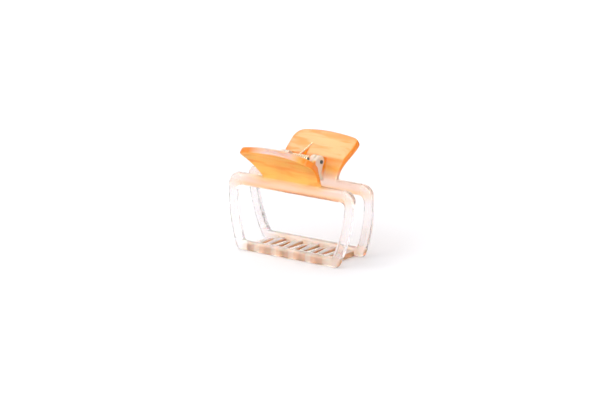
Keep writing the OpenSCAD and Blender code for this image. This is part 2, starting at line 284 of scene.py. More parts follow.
class ClipSettings(bpy.types.PropertyGroup):
    """All settings of the claw clip."""

    frame: group("Frame", FrameSizes, "Open frame of a jaw")
    rear_plate: group("Rear plate", PlateSizes, "Rear finger plate")
    front_plate: group("Front plate", PlateSizes, "Front finger plate")
    plate: group("Plate form", PlateForm, "Both finger plates")
    hinge: group("Hinge", HingeSizes, "Lugs and pin")
    teeth: group("Teeth", ToothSizes, "Comb of a jaw")
    spring: group("Spring", SpringSizes, "Torsion spring")
    resin: group("Resin", ResinLook, "Moulded resin")
    metal: group("Metal", MetalLook, "Pin and spring finish")
    studio: group("Studio", StudioSettings, "Camera and floor")
    voxel: size("Fusing grid", 0.26, "Grid on which the parts of a jaw are fused into one moulding")
    softening: whole("Softening", 9, "Rounds of smoothing that soften a jaw's edges", least=0)


# ---- meshes ----


def new_object(name, mesh):
    made = bpy.data.objects.new(name, mesh)
    bpy.context.scene.collection.objects.link(made)
    return made


def mesh_from(name, points, faces, edges=()):
    mesh = bpy.data.meshes.new(name)
    mesh.from_pydata([tuple(p) for p in points], edges, faces)
    mesh.update()
    return mesh


def loft(name, rings, looped=False):
    """Quads between rings of equal count. A loft that isn't looped is closed by a face at each end."""
    count, around = len(rings), len(rings[0])
    faces = []
    for r in range(count if looped else count - 1):
        low, high = r * around, (r + 1) % count * around
        for i in range(around):
            j = (i + 1) % around
            faces.append((low + i, low + j, high + j, high + i))
    if not looped:
        faces.append(tuple(reversed(range(around))))
        faces.append(tuple(range((count - 1) * around, count * around)))
    mesh = mesh_from(name, [p for ring in rings for p in ring], faces)
    point_outwards(mesh)
    return mesh


def point_outwards(mesh):
    """Turns the faces of a closed mesh outwards."""
    shell = bmesh.new()
    shell.from_mesh(mesh)
    bmesh.ops.recalc_face_normals(shell, faces=shell.faces)
    if shell.calc_volume(signed=True) < 0:
        bmesh.ops.reverse_faces(shell, faces=shell.faces)
    shell.to_mesh(mesh)
    shell.free()


def in_millimetres(name, meshes):
    """One object of several meshes, which it uses up, in the unit that fusing and cutting work best in."""
    together = bmesh.new()
    for mesh in meshes:
        together.from_mesh(mesh)
        bpy.data.meshes.remove(mesh)
    piece = new_object(name, bpy.data.meshes.new(name))
    together.to_mesh(piece.data)
    together.free()
    piece.data.transform(Matrix.Scale(1 / MM, 4))
    return piece


def with_options(thing, options):
    for option, value in options.items():
        setattr(thing, option, value)
    return thing


def add_modifier(piece, kind, **options):
    return with_options(piece.modifiers.new(kind.title(), kind), options)


def apply_modifiers(piece):
    """Gives the piece the plain mesh that its modifiers make, and removes them."""
    bpy.context.view_layer.update()
    evaluated = piece.evaluated_get(bpy.context.evaluated_depsgraph_get())
    mesh = bpy.data.meshes.new_from_object(evaluated)
    old = piece.data
    piece.modifiers.clear()
    piece.data = mesh
    bpy.data.meshes.remove(old)
    return piece


def shade(piece, sharp_from):
    """Shades a piece smooth, but for edges that turn by more than sharp_from degrees."""
    piece.data.shade_smooth()
    piece.data.set_sharp_from_angle(angle=radians(sharp_from))


def mix(a, b, k):
    return a + (b - a) * k


def fade(values, begins, full):
    """0 where something begins, 1 where it is full, and even steps between."""
    return np.clip((values - begins) / (full - begins), 0, 1)


def arc(cx, cz, r, start, end, steps):
    """steps + 1 points of an arc, from angle start to angle end."""
    return [(cx + r * cos(a), cz + r * sin(a)) for a in np.linspace(start, end, steps + 1)]


def round_rings(stations, side, other, sides):
    """Rings of a turned form. A station is a centre and a radius; side and other span the rings."""
    spokes = [cos(a) * side + sin(a) * other for a in (2 * pi * i / sides for i in range(sides))]
    return [[centre + radius * spoke for spoke in spokes] for centre, radius in stations]


def rod(name, start, end, radius, sides):
    """A closed round bar from start to end."""
    axis = (end - start).normalized()
    side = axis.orthogonal().normalized()
    return loft(name, round_rings([(start, radius), (end, radius)], side, axis.cross(side), sides))


# ---- node trees ----


class Wiring:
    """Wires a node tree. A value is a node, for its first output, or an output, or a plain value."""

    def __init__(self, tree):
        self.tree = tree

    def feed(self, node, inputs):
        """Gives a value to each of a node's inputs, which are named or numbered."""
        for label, value in inputs.items():
            socket = node.inputs[label]
            if isinstance(value, bpy.types.Node):
                value = value.outputs[0]
            if isinstance(value, bpy.types.NodeSocket):
                self.tree.links.new(value, socket)
            elif value is not None:
                socket.default_value = (*value, 1.0) if socket.type == "RGBA" else value
        return node

    def add(self, kind, inputs, **options):
        return self.feed(with_options(self.tree.nodes.new(kind), options), inputs)

    def math(self, operation, *values, clamp=False):
        return self.add("ShaderNodeMath", dict(enumerate(values)), operation=operation, use_clamp=clamp)

    def noise(self, vector, scale, detail=2.0, roughness=0.5, distortion=0.0):
        return self.add("ShaderNodeTexNoise", {"Vector": vector, "Scale": scale, "Detail": detail,
                                               "Roughness": roughness, "Distortion": distortion})

    def stretch(self, vector, scale, turn=(0.0, 0.0, 0.0)):
        return self.add("ShaderNodeMapping", {"Vector": vector, "Scale": scale, "Rotation": turn})

    def fade(self, value, begins, full, low=0.0, high=1.0, curve="SMOOTHSTEP"):
        """Goes from low, where the value is at begins, to high, where it is at full."""
        inputs = dict(enumerate((value, begins, full, low, high)))
        return self.add("ShaderNodeMapRange", inputs, interpolation_type=curve)

    def mixed(self, factor, a, b):
        """The colour between a and b."""
        return self.add("ShaderNodeMix", {0: factor, 6: a, 7: b}, data_type="RGBA").outputs[2]

    def bump(self, height, strength, distance, normal=None):
        return self.add("ShaderNodeBump", {"Height": height, "Strength": strength, "Distance": distance,
                                           "Normal": normal})

    def group(self, tree, inputs):
        """Places a group and gives its outputs."""
        return self.add("ShaderNodeGroup", inputs, node_tree=tree).outputs


def new_group(kind, name, inputs, outputs):
    """A node group with sockets given as {type: names}. A float of a shape's group is a length."""
    tree = bpy.data.node_groups.new(name, kind + "NodeTree")
    for in_out, sockets in (("INPUT", inputs), ("OUTPUT", outputs)):
        for socket, label in ((socket, label) for socket, labels in sockets.items() for label in labels):
            made = tree.interface.new_socket(label, in_out=in_out, socket_type="NodeSocket" + socket)
            if (kind, socket) == ("Geometry", "Float"):
                made.subtype = "DISTANCE"
    return Wiring(tree), tree.nodes.new("NodeGroupInput").outputs, tree.nodes.new("NodeGroupOutput")


def shape_tree(name, inputs, make_shape):
    """A Geometry Nodes tree that ends what make_shape wires in plain geometry with its material."""
    inputs = {"Geometry": ["Geometry"], **inputs, "Material": ["Material"]}
    wiring, given, result = new_group("Geometry", name, inputs, {"Geometry": ["Geometry"]})
    real = wiring.add("GeometryNodeRealizeInstances", {"Geometry": make_shape(wiring, given)})
    shown = wiring.add("GeometryNodeSetMaterial", {"Geometry": real, "Material": given["Material"]})
    wiring.feed(result, {"Geometry": shown})
    return wiring.tree


def apply_tree(piece, tree, values):
    """Runs a Geometry Nodes tree on the piece, with its named inputs set, and keeps the plain mesh."""
    modifier = add_modifier(piece, "NODES", node_group=tree)
    for item in tree.interface.items_tree:
        if item.in_out == "INPUT" and item.name in values:
            modifier[item.identifier] = values[item.name]
    return apply_modifiers(piece)


# ---- jaw: open frame ----

CORNER_STEPS, SIDE_STEPS = 12, 40


def outline(sizes, inset, z_low, z_high, r_low, r_high):
    """Closed outline in X and Z: floor, lower corner, drawn-in side, upper corner, and mirrored back."""
    widest = sizes.height - sizes.widest_drop
    side_r = (widest**2 + sizes.side_taper**2) / (2 * sizes.side_taper)
    centre_x, r = sizes.length / 2 - side_r, side_r - inset
    low, high = z_low + r_low - widest, z_high - r_high - widest
    low_a, high_a = asin(low / (r - r_low)), asin(high / (r - r_high))
    low_x = centre_x + sqrt((r - r_low) ** 2 - low**2)
    high_x = centre_x + sqrt((r - r_high) ** 2 - high**2)
    right = arc(low_x, z_low + r_low, r_low, -pi / 2, low_a, CORNER_STEPS)
    right += arc(centre_x, widest, r, low_a, high_a, SIDE_STEPS)
    right += arc(high_x, z_high - r_high, r_high, high_a, pi / 2, CORNER_STEPS)
    return right + [(-x, z) for x, z in reversed(right)]


def outer_y(sizes, z):
    """Distance of a jaw's outer face from the hinge plane at height z."""
    return mix(sizes.foot_y, sizes.shoulder_y, z / sizes.height)


def frame_ring(sizes):
    """The frame as a loop of eight-sided sections that lean in towards the hinge."""
    outside = outline(sizes, 0, 0, sizes.height, sizes.foot_r, sizes.shoulder_r)
    inside = outline(sizes, sizes.side_w, sizes.bottom_bar_h, sizes.height - sizes.top_bar_h,
                     sizes.window_foot_r, sizes.window_top_r)
    rings = []
    for (ax, az), (bx, bz) in zip(outside, inside):
        e = sizes.edge / hypot(bx - ax, bz - az)
        section = [(0, e), (0, 1 - e), (e, 1), (1 - e, 1), (1, 1 - e), (1, e), (1 - e, 0), (e, 0)]
        ring = []
        for across, deep in section:
            x, z = mix(ax, bx, across), mix(az, bz, across)
            depth = sizes.edge if deep in (e, 1 - e) else 0
            y = outer_y(sizes, z) - (depth if deep > 0.5 else sizes.wall - depth)
            ring.append((x, y, z))
        rings.append(ring)
    return loft("frame_ring", rings, looped=True)


# ---- jaw: teeth ----

TOOTH_STEPS = 28
TOOTH_BEVEL = 0.18  # bevel of the upper edges, as a share of the tip's height
TIP_FALL = 0.5  # fall of the upper face at the tip, as a share of the tip's height
FALL_LENGTH, FALL_EASE = 1.6, 1.5  # length of that fall, in falls, and how gently it starts
LEAST_HALF = 0.02 * MM  # half of a tooth's width at its very tip


def first_tooth(teeth):
    """X of a jaw's first tooth, off by a quarter pitch so that the turned jaw's teeth fall between."""
    return teeth.pitch / 4 - (teeth.count - 1) / 2 * teeth.pitch


def tooth_mesh(teeth, sizes):
    """One tooth at the middle of the clip, from inside the toothed bar to its rounded tip."""
    root_w = teeth.pitch / 2 - teeth.side_gap
    root_y = sizes.foot_y - sizes.wall / 2
    tip_y = teeth.tip_gap - (outer_y(sizes, teeth.tip_h) - sizes.wall)
    fall = TIP_FALL * teeth.tip_h
    rings = []
    for k in range(TOOTH_STEPS + 1):
        from_tip = (root_y - tip_y) * cos(pi / 2 * k / TOOTH_STEPS)
        y, inward = tip_y + from_tip, from_tip / (root_y - tip_y)
        rounding = sqrt(1 - (1 - min(1, from_tip / teeth.tip_r)) ** 2)
        half = max(mix(2 * teeth.tip_r, root_w, inward) * rounding / 2, LEAST_HALF)
        height = mix(teeth.tip_h, teeth.root_h, inward)
        height -= fall * (1 - min(1, from_tip / (FALL_LENGTH * fall))) ** FALL_EASE
        b = min(TOOTH_BEVEL * teeth.tip_h, half / 2)
        rings.append([(-half, y, 0), (half, y, 0), (half, y, height - b), (half - b, y, height),
                      (b - half, y, height), (-half, y, height - b)])
    return loft("tooth", rings)


def line_of_teeth(wiring, given):
    """Repeats the given tooth along the toothed bar."""
    start = wiring.add("ShaderNodeCombineXYZ", {"X": given["First tooth"]})
    step = wiring.add("ShaderNodeCombineXYZ", {"X": given["Pitch"]})
    line = wiring.add("GeometryNodeMeshLine",
                      {"Count": given["Teeth"], "Start Location": start, "Offset": step})
    return wiring.add("GeometryNodeInstanceOnPoints", {"Points": line, "Instance": given["Geometry"]})


def comb_tree():
    return shape_tree("Tooth comb", {"Int": ["Teeth"], "Float": ["First tooth", "Pitch"]}, line_of_teeth)


def comb_mesh(teeth, sizes, tree, material):
    comb = new_object("comb", tooth_mesh(teeth, sizes))
    mesh = apply_tree(comb, tree, {"Teeth": teeth.count, "First tooth": first_tooth(teeth),
                                   "Pitch": teeth.pitch, "Material": material}).data
    bpy.data.objects.remove(comb)
    return mesh


# ---- jaw: finger plate ----

NECK_INSET = 0.12 * MM  # keeps the neck's faces just inside the top bar's
NECK_TURN = 0.8  # share of the lean that the neck turns through
CREASE_DROP = 0.2  # how far the inner crease lies below the bend's end, in bend radii
NECK_ALONG, BEND_ALONG = 0.45, 0.5  # share of the arch and curl at the neck's end and at the bend's
NECK_STEPS, LEAN_STEPS, RIM_STEPS = 20, 30, 7
RIM_TURN = radians(12), radians(85)  # first and last angle of the rounded upper edge
FACES_ACROSS, EDGE_STEPS = 40, 4


class PlateCurve:
    """Side view of a finger plate: neck, bend and leaning part, as points in Y and Z."""

    def __init__(self, sizes, form, plate):
        self.sizes, self.form, self.plate = sizes, form, plate
        self.up = np.array((sin(form.lean), cos(form.lean)))
        self.out = np.array((cos(form.lean), -sin(form.lean)))
        self.bend_end = np.array((sizes.shoulder_y + form.bend_r * (1 - cos(form.lean)),
                                  sizes.height + form.bend_r * sin(form.lean)))
        self.inner_bend_end = self.bend_end - form.thickness * self.out
        self.crease = self.inner_bend_end - CREASE_DROP * form.bend_r * self.up
        top = sizes.height + plate.rise + form.rim_r * (self.up.sum() - 1)
        self.length = (top - self.inner_bend_end[1]) / self.up[1]

    def root(self):
        z = self.sizes.height - self.sizes.top_bar_h / 2
        outer = outer_y(self.sizes, z) - NECK_INSET
        inner = outer_y(self.sizes, z) - self.sizes.wall + NECK_INSET
        return np.array((outer, z)), np.array((inner, z)), 0.0

    def neck(self, k):
        """Station at share k of the neck."""
        a = NECK_TURN * self.form.lean * k
        radius = self.form.bend_r
        outer = np.array((self.sizes.shoulder_y - NECK_INSET + (radius + NECK_INSET) * (1 - cos(a)),
                          self.sizes.height + radius * sin(a)))
        start = np.array((self.sizes.shoulder_y - self.sizes.wall + NECK_INSET, self.sizes.height))
        return outer, mix(start, self.crease, k), NECK_ALONG * k

    def leaning(self, d, thinner, along):
        """Station at the distance d above the bend, thinner on both faces."""
        shift = d * self.up
        return (self.bend_end + shift - thinner * self.out,
                self.inner_bend_end + shift + thinner * self.out, along)

    def stations(self):
        """Stations up the plate: outer point, inner point, share of the arch and curl."""
        rim = self.form.rim_r
        found = [self.root()] + [self.neck(k) for k in np.linspace(0, 1, NECK_STEPS)]
        for k in np.linspace(0, 1 - rim / self.length, LEAN_STEPS):
            found.append(self.leaning(k * self.length, 0, mix(BEND_ALONG, 1.0, k)))
        for a in np.linspace(*RIM_TURN, RIM_STEPS):
            found.append(self.leaning(self.length - rim * (1 - sin(a)), rim * (1 - cos(a)), 1.0))
        return found

    def corner_cut(self, station, r):
        """How far a rounded upper corner of radius r draws an end in at a station."""
        to_edge = self.length - (station[1] - self.inner_bend_end) @ self.up
        c = r - min(r, to_edge)
        return r - sqrt(r * r - c * c)

    def flare(self, station):
        rise = (station[0][1] - self.sizes.height) / self.plate.flare_h
        return sin(pi / 2 * min(1, max(0, rise))) ** self.plate.flare_ease

    def ends(self, station):
        """X of the upright end and of the flared end at a station."""
        form, plate = self.form, self.plate
        upright, flared = (
            mix(form.neck_w / 2, reach, self.flare(station)) - self.corner_cut(station, corner_r)
            for reach, corner_r in ((form.upright_reach, form.upright_corner_r),
                                    (plate.flared_reach, form.flared_corner_r)))
        return -upright, flared


def finger_plate(curve):
    """A loft of rings from inside the top bar to the rounded rim, arched and curled at its ends."""
    form, plate = curve.form, curve.plate
    flared, upright = plate.flared_reach, form.upright_reach
    middle, half = (flared - upright) / 2, (flared + upright) / 2
    turn = np.linspace(0, pi / 2, EDGE_STEPS + 1)[1:-1]
    rings = []
    for station in curve.stations():
        outer, inner, along = station
        left, right = curve.ends(station)
        thickness = np.linalg.norm(outer - inner)
        e = min(form.rim_r, thickness / 3)
        deep_e = e / thickness
        marks = [(x, 0) for x in np.linspace(left + e, right - e, FACES_ACROSS + 1)]
        marks += [(right - e * (1 - sin(a)), deep_e * (1 - cos(a))) for a in turn]
        marks += [(right, deep_e), (right, 1 - deep_e)]
        marks += [(right - e * (1 - cos(a)), 1 - deep_e * (1 - sin(a))) for a in turn]
        marks += [(left + right - x, 1 - deep) for x, deep in marks]
        ring = []
        for x, deep in marks:
            y, z = mix(outer, inner, deep)
            q = ((x - middle) / half) ** 2 * along**2
            fall = form.arch + (plate.droop if x < middle else 0)
            ring.append((x, y + q * (form.curl - fall * curve.up[0]), z - q * fall * curve.up[1]))
        rings.append(ring)
    return loft("finger_plate", rings)


# ---- jaw: lugs ----

LUG_SIDES = 72
WEB_EDGE = 0.97  # where a web's free edge leaves the eye, in lug radii
WEB_FOOT, WEB_ROOT = 0.02, 0.25  # how deep a web reaches into the top bar, at its edge and within
WEB_IN_NECK = ((0.5, 0.5), (1, 0.6))  # its points in the neck: how far up, and how far in
WEB_ON_EYE = 0.35, 0.9  # its last point on the eye, in lug radii


def web_profile(curve, hinge):
    """Side view of a lug's web between the eye, the top bar and the neck."""
    sizes, edge, slope = curve.sizes, WEB_EDGE * hinge.lug_r, tan(hinge.web_lean)
    bar_mid = sizes.shoulder_y - sizes.wall / 2
    top = (-edge * cos(hinge.web_lean), HINGE_AT.z - edge * sin(hinge.web_lean))
    foot_z = sizes.height - WEB_FOOT * sizes.top_bar_h
    in_bar = [(top[0] + (top[1] - foot_z) * slope, foot_z),
              (bar_mid, sizes.height - WEB_ROOT * sizes.top_bar_h), (bar_mid, sizes.height)]
    in_neck = [tuple(mix(*curve.neck(up)[:2], deep)) for up, deep in WEB_IN_NECK]
    on_eye = (WEB_ON_EYE[0] * hinge.lug_r, HINGE_AT.z + WEB_ON_EYE[1] * hinge.lug_r)
    return [top] + in_bar + in_neck + [on_eye, (0, HINGE_AT.z)]


def lug_meshes(curve, hinge):
    """The inner lug on one side of the spring and the outer lug on the other, each an eye and a web."""
    outer_x = hinge.inner_lug_x + hinge.lug_t + hinge.lug_gap
    eye = arc(0, HINGE_AT.z, hinge.lug_r, 0, 2 * pi, LUG_SIDES)[:-1]
    meshes = []
    for low in (hinge.inner_lug_x, -outer_x - hinge.lug_t):
        for name, profile in (("lug_eye", eye), ("lug_web", web_profile(curve, hinge))):
            ends = (low, low + hinge.lug_t)
            meshes.append(loft(name, [[(x, y, z) for y, z in profile] for x in ends]))
    return meshes


# ---- spring path, and what holds its legs ----

SPRING_STEPS_A_TURN, LEG_STEPS = 32, 24
HOLE_SIDES, BORE_SIDES = 24, 64
BORE_REACH = 1.5  # half length of the bore's cutter, in half lengths of the pin
RIB_FOOT = 0.68  # share of the neck below a rib, so that the hair keeps its room under the spring
RIB_BITE, RIB_FOOT_BITE = 0.3, 0.2  # how deep a rib's tip and foot reach in, in plate thicknesses


class SpringPath:
    """The wire's own line, about the hinge plane: rear leg, coil, front leg."""

    def __init__(self, spring, curve):
        self.spring, self.curve = spring, curve
        self.rise = np.array((cos(spring.leg_rise), sin(spring.leg_rise)))
        self.foot = np.array((spring.coil_r * sin(spring.leg_rise),
                              HINGE_AT.z - spring.coil_r * cos(spring.leg_rise)))
        self.to_face = (self.foot - curve.inner_bend_end) @ -curve.out / (self.rise @ curve.out)
        self.turns = spring.turns + spring.leg_rise / pi
        self.half = (spring.wire_d + spring.turn_gap) * self.turns / 2
        lead = (spring.wire_d + spring.turn_gap) / (2 * pi * spring.coil_r)
        self.start_x = self.half + lead * spring.wire_d
        self.swing = (self.start_x - spring.leg_tip_x) / (self.to_face - spring.wire_d)

    def leg_point(self, s):
        """Point of the rear leg at the distance s along it."""
        y, z = self.foot + s * self.rise
        return Vector((self.swing * (s - self.spring.wire_d) - self.start_x, y, z))

    def points(self):
        spring, length = self.spring, self.to_face + self.spring.leg_hole - self.spring.leg_play
        leg = [self.leg_point(s) for s in np.linspace(spring.wire_d, length, LEG_STEPS)]
        coil = []
        for k in np.linspace(0, 1, ceil(self.turns * SPRING_STEPS_A_TURN) + 1):
            a = spring.leg_rise - 2 * pi * self.turns * k
            coil.append(Vector((mix(-self.half, self.half, k), spring.coil_r * sin(a),
                                HINGE_AT.z - spring.coil_r * cos(a))))
        return leg[::-1] + coil + [Vector((-p.x, -p.y, p.z)) for p in leg]


def leg_hole_cutter(path):
    spring = path.spring
    bottom, mouth = (path.leg_point(path.to_face + way * spring.leg_hole) for way in (1, -1))
    return rod("leg_hole", bottom, mouth, spring.wire_d / 2 + spring.leg_play, HOLE_SIDES)


def leg_rib(path):
    """A three-cornered rib between the plate's inner face and the underside of the spring's leg."""
    spring, thickness = path.spring, path.curve.form.thickness
    clear = spring.coil_r + spring.wire_d / 2 + spring.rib_gap
    near = path.leg_point(sqrt(clear ** 2 - spring.coil_r ** 2))
    far = path.leg_point(path.to_face + RIB_BITE * thickness)
    under = Vector((0, 0, -spring.wire_d / 2 / cos(spring.leg_rise)))
    neck_y, neck_z = path.curve.neck(RIB_FOOT)[1]
    foot = near.lerp(far, (neck_y + RIB_FOOT_BITE * thickness - near.y) / (far.y - near.y))
    foot.z = neck_z
    side = (far - near).cross(Vector((0, 0, 1))).normalized() * spring.rib_t / 2
    corners = [near + under, far + under, foot]
    return loft("leg_rib", [[p + way * side for p in corners] for way in (-1, 1)])


# ---- jaw: the whole moulding ----

MARKS = "rim", "end", "tooth_side"  # rim: painted highlight; end: deep orange at the plates' ends and painted shade along the crease and fold; and deep blush on the teeth's sides with painted shade between their roots
CLEAR, TOOTHED, DYED, LUGS = range(4)  # the resins of a jaw
OVER_TEETH = 0.5 * MM  # how far the toothed resin reaches above the toothed bar
WEB_DEPTH = 0.3  # how deep the lugs' resin reaches into the top bar, as a share of its height
BESIDE_LUGS = 0.4 * MM  # how far the lugs' resin reaches towards the middle

# Where each mark begins and where it is full. A LOOK is how far a face looks one way, up to 1.
PLATE_Z, PLATE_Y = (-2 * MM, 0), (6 * MM, 8 * MM)  # over the pin, and from the hinge plane
RIM_LOOK = 0.35, 0.7  # up the plate
FROM_FLARED, FROM_UPRIGHT = (5 * MM, 13 * MM), (4.5 * MM, 9.5 * MM)  # from each end of the rim
END_LOOK, END_Z = (0.3, 0.6), (31.5 * MM, 33 * MM)  # sideways, and the height
CREASE_LOOK, CREASE_SHADE_SHARE = 0.3, 0.9  # up the plate where the crease's painted shade is strongest, and how strong
FOLD_DROP, FOLD_H, FOLD_SHADE_SHARE = 1.1 * MM, 1.6 * MM, 0.75  # painted shade along the fold: below the crease, half height, how strong
FOLD_LOOK, FOLD_Y = (-0.3, -0.6), (4 * MM, 5 * MM)  # towards the hinge, and from the hinge plane
TOOTH_LOOK, TOOTH_Z = (0.5, 0.8), (0, -0.8 * MM)  # sideways, and over the toothed bar's top
ROOT_X, ROOT_Y, ROOT_SHADE_SHARE = (1.1 * MM, 0.5 * MM), (0, 0.5 * MM), 0.6  # from a tooth, past the shoulders, and how strong the painted shade between the teeth is


def fused(name, meshes, voxel, softening):
    """Fuses overlapping closed meshes into one moulding with soft edges and filleted joints."""
    piece = in_millimetres(name, meshes)
    add_modifier(piece, "REMESH", mode="VOXEL", voxel_size=voxel / MM)
    add_modifier(piece, "SMOOTH", factor=0.5, iterations=softening)
    return apply_modifiers(piece)


def cut(piece, cutters):
    """Cuts closed meshes out of the piece, which is still in millimetres."""
    tool = in_millimetres("cutter", cutters)
    add_modifier(piece, "BOOLEAN", operation="DIFFERENCE", solver="EXACT", object=tool)
    apply_modifiers(piece)
    bpy.data.objects.remove(tool)


def mark_edges(mesh, curve, teeth):
    """Marks the painted highlight on the plate's rim, the deep orange of its ends with painted shade along
    its crease and fold, and the teeth's sides with painted shade between their roots, on a mesh in
    millimetres.
    """
    place, normal = np.empty((2, len(mesh.vertices) * 3))
    mesh.vertices.foreach_get("co", place)
    mesh.vertices.foreach_get("normal", normal)
    (x, y, z), (nx, ny, nz) = place.reshape(-1, 3).T * MM, normal.reshape(-1, 3).T
    sizes, form = curve.sizes, curve.form
    sideways, upward = np.abs(nx), ny * sin(form.lean) + nz * cos(form.lean)
    on_plate = fade(z - HINGE_AT.z, *PLATE_Z) * fade(y, *PLATE_Y)
    # The rim carries the painted highlight, which fades out towards both ends; near the flared end the rim
    # goes deep orange instead
    rim = fade(upward, *RIM_LOOK) * on_plate
    off_flared = fade(curve.plate.flared_reach - x, *FROM_FLARED)
    off_upright = fade(x + form.upright_reach, *FROM_UPRIGHT)
    side = fade(sideways, *END_LOOK) * fade(z, *END_Z)
    # Painted shade: the crease, and a band along the fold below it, turn deep orange through the end mark
    crease = fade(np.abs(upward - CREASE_LOOK), CREASE_LOOK, 0) * on_plate
    fold = fade(np.abs(z - curve.crease[1] + FOLD_DROP), FOLD_H, 0)
    fold *= fade(ny, *FOLD_LOOK) * fade(y, *FOLD_Y)
    end = np.maximum.reduce((side, rim * (1 - off_flared), CREASE_SHADE_SHARE * crease, FOLD_SHADE_SHARE * fold))
    from_first = x - first_tooth(teeth)
    nearest = np.clip(np.round(from_first / teeth.pitch), 0, teeth.count - 1)
    beside_tooth = np.abs(from_first - nearest * teeth.pitch) - teeth.pitch / 4
    # Painted shade between the teeth: the bar beside each tooth's root turns deep blush
    root = fade(beside_tooth, *ROOT_X) * fade(y - sizes.shoulder_y, *ROOT_Y)
    tooth_side = np.maximum(fade(sideways, *TOOTH_LOOK), ROOT_SHADE_SHARE * root)
    tooth_side *= fade(z - sizes.bottom_bar_h, *TOOTH_Z)
    for name, values in zip(MARKS, (rim * off_flared * off_upright, end, tooth_side)):
        mesh.attributes.new(name, "FLOAT", "POINT").data.foreach_set("value", values)


def give_resins(mesh, sizes, hinge, resins):
    """Gives each face of a jaw the resin of its place."""
    mesh.materials.clear()
    for material in resins:
        mesh.materials.append(material)
    toothed_top = sizes.bottom_bar_h + OVER_TEETH
    web_foot, web_y = sizes.height - WEB_DEPTH * sizes.top_bar_h, sizes.shoulder_y - sizes.wall
    web_x = hinge.inner_lug_x - BESIDE_LUGS
    for face in mesh.polygons:
        x, y, z = face.center
        on_web = z > web_foot and abs(y - HINGE_AT.y) < web_y and abs(x) > web_x
        face.material_index = (
            LUGS if on_web else DYED if z > sizes.height else TOOTHED if z < toothed_top else CLEAR)


def make_jaw(settings, body, plate, bore_gap, half_turn, tree, resins):
    """One jaw about the hinge plane, then turned to its own side and moved to the hinge."""
    sizes, hinge = settings.frame, settings.hinge
    curve = PlateCurve(sizes, settings.plate, plate)
    path = SpringPath(settings.spring, curve)
    comb = comb_mesh(settings.teeth, sizes, tree, resins[CLEAR])
    parts = [frame_ring(sizes), finger_plate(curve), comb] + lug_meshes(curve, hinge) + [leg_rib(path)]
    piece = fused(body + "_moulding", parts, settings.voxel, settings.softening)
    reach, at_pin = Vector((BORE_REACH * PIN_BOX[1][0], 0, 0)), Vector((0, 0, HINGE_AT.z))
    bore = rod("bore", at_pin - reach, at_pin + reach, hinge.pin_d / 2 + bore_gap, BORE_SIDES)
    cut(piece, [bore, leg_hole_cutter(path)])
    mark_edges(piece.data, curve, settings.teeth)
    turn = Matrix.Rotation(pi if half_turn else 0, 4, "Z")
    piece.data.transform(Matrix.Translation((0, HINGE_AT.y, 0)) @ turn @ Matrix.Scale(MM, 4))
    give_resins(piece.data, sizes, hinge, resins)
    shade(piece, sharp_from=42)
    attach(piece, body)
    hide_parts(body)


# ---- materials ----


def wear_group():
    """Fine handling marks: a little unevenness in roughness and height."""
    wiring, given, result = new_group(
        "Shader", "Handling marks", {"Vector": ["Vector"], "Float": ["Mark scale", "Polish", "Dulling"]},
        {"Float": ["Roughness", "Height"]})
    drawn_out = wiring.stretch(given["Vector"], scale=(1.0, 0.12, 1.0), turn=(0.5, 0.3, 0.9))
    scratches = wiring.noise(drawn_out, given["Mark scale"], detail=3.0, roughness=0.6)
    smudges = wiring.noise(given["Vector"], scale=120.0)
    marks = wiring.fade(wiring.math("MULTIPLY", scratches, smudges), begins=0.15, full=0.42)
    dull = wiring.math("MULTIPLY", marks, given["Dulling"])
    rough = wiring.math("ADD", dull, given["Polish"], clamp=True)
    wiring.feed(result, {"Roughness": rough, "Height": marks})
    return wiring.tree


def shared_wear_group():
    return bpy.data.node_groups.get("Handling marks") or wear_group()


RESIN_COLOURS = ("orange", "painted_lit_orange", "deep_orange_and_shade", "rim_highlight", "peach", "foot_peach", "clear", "blush",
        "deep_blush", "lug_pink")

# Where each dye, painted light and painted shade begins and where it is full
OFF_LUGS, LUG_ORANGE = (3.0 * MM, 4.4 * MM), 0.04  # from the hinge plane, and the orange that lugs keep
AT_RIBS = 5.2 * MM, 4.8 * MM  # from the middle of the clip
PEACH_Z = 23.0 * MM, 28.5 * MM
PEACH_X, CORNER_PEACH = (21.0 * MM, 31.0 * MM), 0.35  # towards the corners, and what they keep
LUG_Z = 30.0 * MM, 34.0 * MM
BLUSH_Z, BLUSH_X = (2.2 * MM, 0.6 * MM), (-24 * MM, -17 * MM)  # over the toothed bar, and along it
REAR_Y, LEAN_Z = (-2.0 * MM, 5.0 * MM), (34.0 * MM, 38.0 * MM)  # for the painted light that pales the rear plate's orange: across Y, and up its leaning part
FOOT_PEACH_Z, FOOT_PEACH_SHARE = (1.2 * MM, 2.6 * MM), 0.85  # over the top bar's foot, and how strong the deeper peach is there
STREAKS, STREAK_SHARE = (0.42, 0.68), 0.7  # levels of the noise, and how deep a streak is
HIGHLIGHT_STREAKS, HIGHLIGHT_SHARE = (0.62, 0.36), 0.6  # levels of the noise that break the painted rim highlight into streaks, and how much of it stays between them
WANDER = 1.6 * MM  # how far the dyes' edges wander up and down
END_FALL = 0.35  # slope of the orange's edge beyond the neck's width
BAR_FROST, TOOTH_FROST = 0.55, 0.15  # against the full frost of the orange
FROST_ROUGHNESS = 0.5  # roughness of a full frost


def darker(rgb, level):
    return [level * c for c in rgb]


def socket_name(dye):
    return dye.replace("_", " ").capitalize()


